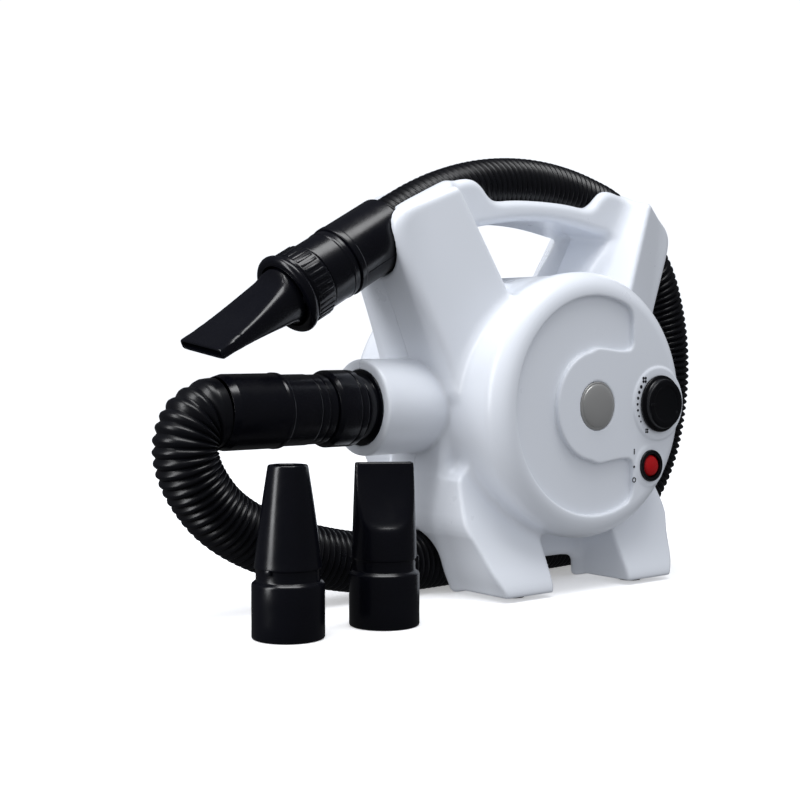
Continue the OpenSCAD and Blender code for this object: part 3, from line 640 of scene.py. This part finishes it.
def shell_piece(name, sign):
    me = bpy.data.meshes.new(name)
    me.from_pydata([tuple(v) for v in bp], [], bfaces)
    bm = bmesh.new()
    bm.from_mesh(me)
    cen_f = np.array([tuple(f.calc_center_median()) for f in bm.faces])
    pick = near_detail(cen_f)
    bm.faces.ensure_lookup_table()
    es = set()
    for i in np.nonzero(pick)[0]:
        for e in bm.faces[i].edges:
            es.add(e)
    bmesh.ops.subdivide_edges(bm, edges=list(es), cuts=1, use_grid_fill=True)
    bm.verts.ensure_lookup_table()
    pts = np.array([tuple(v.co) for v in bm.verts])
    pts = settle(body, pts, 2, 0.8)
    for v, p in zip(bm.verts, pts):
        v.co = p
    gap = 0.18
    cut = bmesh.ops.bisect_plane(bm, geom=bm.verts[:] + bm.edges[:] + bm.faces[:], dist=1e-5,
                                 plane_co=(0, sign * gap, 0), plane_no=(0, -sign, 0), clear_outer=True, clear_inner=False)
    edges = [e for e in bm.edges if e.is_boundary and all(abs(v.co.y - sign * gap) < 1e-3 for v in e.verts)]
    fill = bmesh.ops.triangle_fill(bm, use_beauty=True, use_dissolve=False, edges=edges)
    bmesh.ops.recalc_face_normals(bm, faces=bm.faces)
    # drop crumbs
    seen, keep = set(), []
    for v0 in bm.verts:
        if v0 in seen:
            continue
        stack, group = [v0], []
        seen.add(v0)
        while stack:
            v = stack.pop()
            group.append(v)
            for e in v.link_edges:
                o = e.other_vert(v)
                if o not in seen:
                    seen.add(o)
                    stack.append(o)
        keep.append(group)
    keep.sort(key=len, reverse=True)
    print(name, "islands", [len(g) for g in keep[:6]], "faces", len(bm.faces))
    for g in keep[1:]:
        if len(g) < 400:
            bmesh.ops.delete(bm, geom=g, context="VERTS")
    for v in bm.verts:
        v.co = HUB + v.co * MM
    bm.to_mesh(me)
    bm.free()
    me.update()
    ob = bpy.data.objects.new(name, me)
    bpy.context.scene.collection.objects.link(ob)
    me.materials.append(WHITE)
    me.shade_smooth()
    me.set_sharp_from_angle(angle=math.radians(42))
    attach(ob, "blower")
    return ob


front_half = shell_piece("shell_front_half", -1)
rear_half = shell_piece("shell_rear_half", 1)
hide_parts("front_shell")
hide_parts("rear_shell")

# ------------------------------------------------------------------ outlet coupling, heights out along -X
o = lathe("collar_bush", [(22.1, 136), (25, 136), (25, 148.4), (29, 148.4), (29, 162.6, 1.0), (25, 162.9, 0.4), (25, 170, 0.8), (22.1, 170, 0.5)],
          M_OUT, GLOSS)
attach(o, "blower"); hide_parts("outlet_bush")

o = lathe("lock_ring_moulded", [(22.08, 172), (27.2, 172, 1.2), (29, 174.6, 1.0), (29, 179, 0.3), (28.5, 179.5, 0.2), (28.5, 180.5, 0.2), (29, 181, 0.3),
                                (29, 196, 1.0), (27.0, 199, 1.0), (22.08, 199)], M_OUT, GLOSS)
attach(o, "hose_lock"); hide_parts("lock_ring")

lugs = [soft_box((19.8, -3, 144.2), (21.9, 3, 149.8), 0.5, turn=math.radians(180 * k)) for k in range(2)]
o = lathe("connector_moulded", [(19, 140, 0.6), (22, 140, 0.8), (22, 199.2, 0.3), (25.2, 199.3, 0.8), (26, 201, 0.6), (26, 206, 0.3), (25.4, 206.5, 0.2),
                                (25.4, 207.5, 0.2), (26, 208, 0.3), (26, 213.9), (19, 213.9)], M_OUT, GLOSS, extra=lugs)
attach(o, "blower"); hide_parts("hose_connector")

o = lathe("coupling_moulded", [(21, 214.1), (25.9, 214.1, 0.6), (26.4, 215.2, 0.6), (26.4, 238.6, 0.3), (27.9, 239.6, 0.9), (28.05, 242.6, 1.0), (27.5, 244.2, 0.5), (27.5, 284.0, 1.2), (26.2, 288.6, 0.8), (25.8, 289.78, 0.4),
                               (25.4, 289.78, 0.2), (25.3, 288.6, 0.2), (24.3, 286.5, 0.3), (24.3, 220), (21, 220)], M_OUT, GLOSS)
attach(o, "blower"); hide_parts("coupling_sleeve")
coupling = o

# ------------------------------------------------------------------ wand
seam = [soft_box((-0.35, -0.35, 24), (0.35, 0.35, 68), 0.2, about=(27.45 * math.cos(a), 27.45 * math.sin(a)))
        for a in (math.radians(-118), math.radians(62))]
cuff = lathe("wand_cuff_moulded", [(20.6, 21, 0.5), (25.6, 21, 1.2), (27.5, 23.2, 1.2), (27.5, 69.4, 0.4), (27.95, 70.4, 0.6), (27.95, 74.8, 0.8), (26.4, 74.98, 0.3),
                                   (22.5, 74.98), (22.5, 70), (24.2, 70), (24.2, 24), (20.6, 24)], M_WAND, GLOSS, extra=seam)
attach(cuff, "blower"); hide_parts("wand_cuff")

wend = lathe("wand_end_moulded", [(20.2, 59.2), (23.95, 59.2, 0.4), (23.95, 69.7, 0.3), (22.15, 69.8), (22.15, 75.05), (26.2, 75.05, 0.6), (26.7, 76.6, 0.6), (26.7, 79, 0.3), (27.2, 79.6, 0.5),
                                  (27.2, 81.4, 0.5), (26.7, 82, 0.3), (26.7, 101.35, 0.8), (22.4, 101.36), (22.4, 113.4, 0.6), (20.2, 113.4, 0.5)], M_WAND, GLOSS)
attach(wend, "blower"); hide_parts("wand_end")

ribs = [soft_box((27.4, -1.25, 104.0), (28.6, 1.25, 118.6), 0.4, turn=math.radians(10 * k)) for k in range(36)]
lip = [(27 + 4 * math.cos(a), 125.5 + 4 * math.sin(a), 0) for a in [math.radians(x) for x in range(-78, 121, 18)]]
o = lathe("collar_moulded", [(22.46, 102.02), (27.2, 102.02, 0.8), (28, 103.2, 0.6), (28, 119.4, 0.5), (27.0, 120.6, 0.5), (27.0, 121.5, 0)] + lip[1:] + [(24.62, 129.2, 0.5), (24.62, 114.1), (22.46, 114.1)],
          M_WAND, GLOSS, extra=ribs, segs=128)
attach(o, "tip_collar"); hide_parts("nozzle_collar")


# ------------------------------------------------------------------ nozzles
def section(r, t, n=128, power=9.0):
    """one ring: a circle of radius r flattened between two faces t from the middle"""
    a = np.arange(n) * 2 * math.pi / n
    s = np.abs(np.sin(a))
    if callable(t):
        t = np.array([t(abs(math.cos(v))) for v in a])
    f = ((1.0 / r) ** power + (s / t) ** power) ** (-1.0 / power)
    return np.stack([f * np.cos(a), f * np.sin(a)], 1)


def loft(name, rings, m, mat, extra=(), power=9.0, n=128, sharp=38.0):
    """closed wall through (height, radius, half thickness) rings, outside up and inside down"""
    vs = []
    for h, r, t in rings:
        p = section(r, t, n, power)
        vs.append(np.column_stack([p, np.full(n, h)]))
    verts = np.vstack(vs)
    k = len(rings)
    faces = []
    for i in range(k):
        j = (i + 1) % k
        for q in range(n):
            w = (q + 1) % n
            faces.append((i * n + q, i * n + w, j * n + w, j * n + q))
    parts = [(verts, faces)] + list(extra)
    allv, allf, off = [], [], 0
    for v, f in parts:
        allv.append(np.asarray(v, float))
        allf += [tuple(i + off for i in g) for g in f]
        off += len(v)
    return tidy(make(name, placed(np.vstack(allv), m), allf, mat, sharp=sharp), sharp)


def smooth_step(t):
    t = min(max(t, 0.0), 1.0)
    return t * t * (3 - 2 * t)


BIG = 400.0


def socket_rings(z0=0.0):
    """the round push-on socket and neck shared by the three nozzles"""
    rr = 24.5
    out = [(z0 + 0.0, rr - 0.9), (z0 + 0.35, rr - 0.3), (z0 + 1.0, rr), (z0 + 12, rr), (z0 + 24, rr), (z0 + 35.6, rr), (z0 + 36.6, rr - 0.25), (z0 + 37.2, rr - 0.8),
           (z0 + 38.3, rr - 2.2), (z0 + 38.7, 21.8), (z0 + 39.4, 21.6), (z0 + 44.5, 21.6), (z0 + 46.2, 21.65)]
    return [(h, r, BIG) for h, r in out]


TIP = 20.3


def flat_rings(h, scoop, start=0, ledge=7.0, rise=0.0, lip=5.2):
    """outside rings of a flat nozzle; scoop is the height where the flat faces begin in the middle,
    rise how much higher they begin at the sides"""
    out = socket_rings()[start:] if start else socket_rings()
    out += [(46.6, 22.1, BIG), (47.2, 22.5, BIG), (48.2, 22.5, BIG)]
    n = 40
    z0 = 49.0
    for i in range(n + 1):
        z = z0 + (h - 1.2 - z0) * i / n
        r = 22.5 + (TIP - 22.5) * ((z - 47) / (h - 47)) ** 1.3
        out.append((z, r, thick(z, h, scoop, ledge, rise, lip)))
    out += [(h - 0.6, TIP - 0.1, lip - 0.1), (h - 0.2, TIP - 0.4, lip - 0.4), (h, TIP - 0.9, lip - 0.9), (h, TIP - 1.3, lip - 1.3),
            (h - 0.4, TIP - 1.7, lip - 1.75), (h - 1.5, TIP - 1.9, lip - 1.9)]
    return out


def thick(z, h, scoop, ledge, rise, lip, less=0.0):
    """half thickness between the flat faces, by how far round the section is: a concave ledge, then a long taper to the slot"""
    flat0 = FL0

    def at(c):
        s0 = scoop + rise * c ** 3
        if z < s0:
            return 23.5 + (s0 - z) * 1.2 - less
        u = (z - s0) / ledge
        v = (z - scoop) / (h - scoop)
        tail = flat0 + (lip - flat0) * (v + SAG * v * (1 - v))
        if u < 1:
            # quarter-round ledge
            return max(lip - 2.1, tail + (23.5 - flat0) * (1 - math.sqrt(max(0.0, 1 - (1 - u) ** 2))) - less)
        return max(lip - 1.9, tail - less)
    return at


FL0 = 20.5
SAG = 0.8
TAB = [soft_box((20.6, -2.4, 44.1), (24.05, 2.4, 47.9), 0.7, turn=a) for a in (0.0, math.pi)]


def inside_flat(h, scoop, ledge, low, rise=0.0, lip=5.2, zlow=0.3):
    r = []
    n = 26
    for i in range(n + 1):
        z = h - 3 + (54 - (h - 3)) * i / n
        t = thick(z, h, scoop, ledge, rise, lip, 2.2)
        r.append((z, 20.1 + (TIP - 22.0) * ((z - 47) / (h - 47)) ** 1.3, t))
    r += [(50.0, 18.6, BIG), (47.5, 18.5, BIG), (36.4, 18.5, BIG)]
    if low:
        r += [(35.9, 18.9, BIG), (35.8, 22.0, BIG), (35.0, 22.3, BIG), (20, 22.3, BIG), (1.2, 22.3, BIG), (zlow, 22.8, BIG)]
    return r


m_spare_flat = Matrix.Translation(FLOOR + Vector((-211, -93, 0)) * MM) @ Matrix.Rotation(math.radians(-32), 4, "Z")
m_spare_cone = Matrix.Translation(FLOOR + Vector((-288, -88, 0)) * MM) @ Matrix.Rotation(math.radians(20), 4, "Z")
o = loft("flat_nozzle_spare", flat_rings(113, 68, ledge=4.5, rise=16.0, lip=4.8) + inside_flat(113, 68, 4.5, True, 16.0, 4.8), m_spare_flat, GLOSS, extra=TAB)
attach(o, "flat_attachment"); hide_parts("spare_flat_nozzle")

cone = socket_rings() + [(46.6, 22.3, BIG), (47.1, 22.75, BIG), (47.8, 22.8, BIG)]
for i in range(15):
    z = 49 + (113.8 - 49) * i / 14
    cone.append((z, 22.8 - 9.4 * (z - 47) / 68 + 0.45 * math.sin(math.pi * (z - 47) / 68), BIG))
cone += [(114.6, 13.3, BIG), (115, 12.9, BIG), (115, 11.7, BIG), (114.5, 11.25, BIG)]
for i in range(12):
    z = 113 - (113 - 48) * i / 11
    cone.append((z, 11.1 + 8.2 * (115 - z) / 68, BIG))
cone += [(46.9, 18.5, BIG), (36.4, 18.5, BIG), (35.9, 18.9, BIG), (35.8, 22.0, BIG), (35.0, 22.3, BIG), (20, 22.3, BIG), (1.2, 22.3, BIG), (0.3, 22.8, BIG)]
o = loft("cone_nozzle_spare", cone, m_spare_cone, GLOSS, extra=TAB)
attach(o, "cone_attachment"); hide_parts("spare_cone_nozzle")

FL0, SAG, TIP = 17.5, 0.75, 25.2
m_tip = M_WAND @ Matrix.Translation(Vector((0, 0, 82)) * MM) @ Matrix.Rotation(math.radians(80), 4, "Z")
rings = [(33.1, 24.2, BIG), (33.4, 24.5, BIG)] + socket_rings()[5:]
rings = rings + flat_rings(127, 50, ledge=5.0, rise=6.0, lip=4.1)[13:]
o = loft("flat_nozzle_fitted", rings + inside_flat(127, 50, 5.0, False, 6.0, 4.1) + [(35.9, 18.9, BIG), (35.8, 22.0, BIG), (33.1, 22.3, BIG)], m_tip, GLOSS, extra=TAB)
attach(o, "tip_nozzle"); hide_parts("flat_nozzle")

# ------------------------------------------------------------------ front: badge, knob, switch
dome = [(0, 0.0)] + [(18.9, 0.0, 0.2), (18.9, 1.5, 0.5), (18.0, 2.05, 0.3), (17.4, 1.85, 0.3)]
dome += [(17.2 * math.cos(math.radians(a)) if a < 90 else 0.0, 1.9 + 2.7 * math.sin(math.radians(a)), 0) for a in range(0, 91, 9)]
o = lathe("badge_dome", dome, m_face(0, 0, -92.4), SILVER, default=0.2, segs=96)
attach(o, "blower"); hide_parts("badge_disc")

knob = [(0, 6.0), (3.0, 6.0, 0.2), (3.0, 1.52, 0.1), (6, 1.52, 0.1), (6, 1.62, 0.05), (22.2, 1.62, 0.3), (23.0, 2.4, 0.5), (23.0, 3.9, 0.8), (21.8, 4.8, 0.6), (20.6, 5.1, 0.5),
        (20.0, 6.0, 0.6), (19.7, 8.6, 1.2), (18.4, 9.5, 1.0), (15.2, 9.45, 1.2), (13.4, 8.7, 1.6), (0, 8.3)]
pointer = [soft_box((-18.6, -0.8, 9.0), (-12.5, 0.8, 9.75), 0.25)]
o = lathe("speed_knob_moulded", knob, m_face(70, 0), SATIN, segs=96, extra=pointer)
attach(o, "knob"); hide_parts("speed_knob")

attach(lathe("switch_bezel", [(9.35, -8.8), (10.1, -8.8, 0.2), (10.1, 0.06, 0.1), (12.95, 0.06, 0.2), (12.8, 1.7, 0.9), (11.4, 2.75, 0.8), (9.6, 1.9, 0.5), (9.35, 0.5, 0.3)],
              m_face(61, -50), SATIN, segs=72), "blower")

cap = [(0, -4.0)] + [(8.75, -4.0, 0.4)] + [(8.75, 2.6, 0.9)]
cap += [(8.3 * math.cos(math.radians(a)) if a < 90 else 0.0, 3.2 + 3.3 * math.sin(math.radians(a)), 0) for a in range(10, 91, 10)]
m_rock = basis((1, 0, 0), (0, 0, 1), (0, -1, 0), HUB + Vector((61, -91.5, -50)) * MM) @ Matrix.Rotation(math.radians(-6), 4, "X")
pins = []
o = lathe("rocker_dome", cap, m_rock, RED, default=0.3, segs=72)
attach(o, "rocker"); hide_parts("rocker_cap")

# ------------------------------------------------------------------ floor and light
fm = bpy.data.materials.new("studio_floor")
nt, b = nodes_of(fm)
tc = nt.nodes.new("ShaderNodeTexCoord").outputs["Object"]
nn = noise(nt, tc, 6.0, 3.0)
nt.links.new(blend_rgb(nt, spread(nt, nn.outputs["Fac"], 0.0, 1.0), (0.93, 0.93, 0.94), (0.90, 0.90, 0.915)), b.inputs["Base Color"])
b.inputs["Roughness"].default_value = 0.8
b.inputs["Specular IOR Level"].default_value = 0.0
b.inputs["Emission Color"].default_value = (1.0, 1.0, 1.0, 1)
b.inputs["Emission Strength"].default_value = 0.34
floor = make("studio_floor", [(-9, -9, -0.0002), (9, -9, -0.0002), (9, 9, -0.0002), (-9, 9, -0.0002)], [(0, 1, 2, 3)], fm, smooth=False)
floor.visible_glossy = False
floor.visible_diffuse = False

world = bpy.data.worlds.new("studio")
bpy.context.scene.world = world
world.use_nodes = True
wt = world.node_tree
bg = wt.nodes["Background"]
path = wt.nodes.new("ShaderNodeLightPath")
# plain white surround; softer as a light source and darker in reflections, as in a draped studio


def step(fac, a, b, src=None):
    m = wt.nodes.new("ShaderNodeMix")
    m.data_type = "FLOAT"
    m.inputs["A"].default_value = a
    m.inputs["B"].default_value = b
    if src is not None:
        wt.links.new(src, m.inputs["A"])
    wt.links.new(path.outputs[fac], m.inputs["Factor"])
    return m.outputs["Result"]


wc = wt.nodes.new("ShaderNodeTexCoord")
wx = wt.nodes.new("ShaderNodeSeparateXYZ")
wt.links.new(wc.outputs["Generated"], wx.inputs["Vector"])
soft = spread(wt, wx.outputs["Z"], 0.30, 0.80, -0.35, 0.35)
lit = step("Is Glossy Ray", 0.0, 0.05, soft)
wt.links.new(step("Is Camera Ray", 0.0, 1.10, lit), bg.inputs["Strength"])
bg.inputs["Color"].default_value = (0.93, 0.955, 1.0, 1)
bpy.context.scene.view_settings.view_transform = "Standard"


def area(name, loc, target, size, power, color=(1, 1, 1)):
    d = bpy.data.lights.new(name, "AREA")
    d.shape = "RECTANGLE"
    d.size, d.size_y = size
    d.energy = power
    d.color = color
    ob = bpy.data.objects.new(name, d)
    bpy.context.scene.collection.objects.link(ob)
    ob.location = loc
    ob.rotation_mode = "QUATERNION"
    ob.rotation_quaternion = (Vector(target) - Vector(loc)).to_track_quat("-Z", "Y")
    return ob


area("left_box", (-1.5, 0.15, 0.75), (0, 0, 0.15), (0.40, 1.5), 13, (0.97, 0.98, 1.0))
area("top_box", (-0.25, -0.35, 2.0), (0, 0, 0.1), (1.6, 0.7), 22, (0.98, 0.99, 1.0))
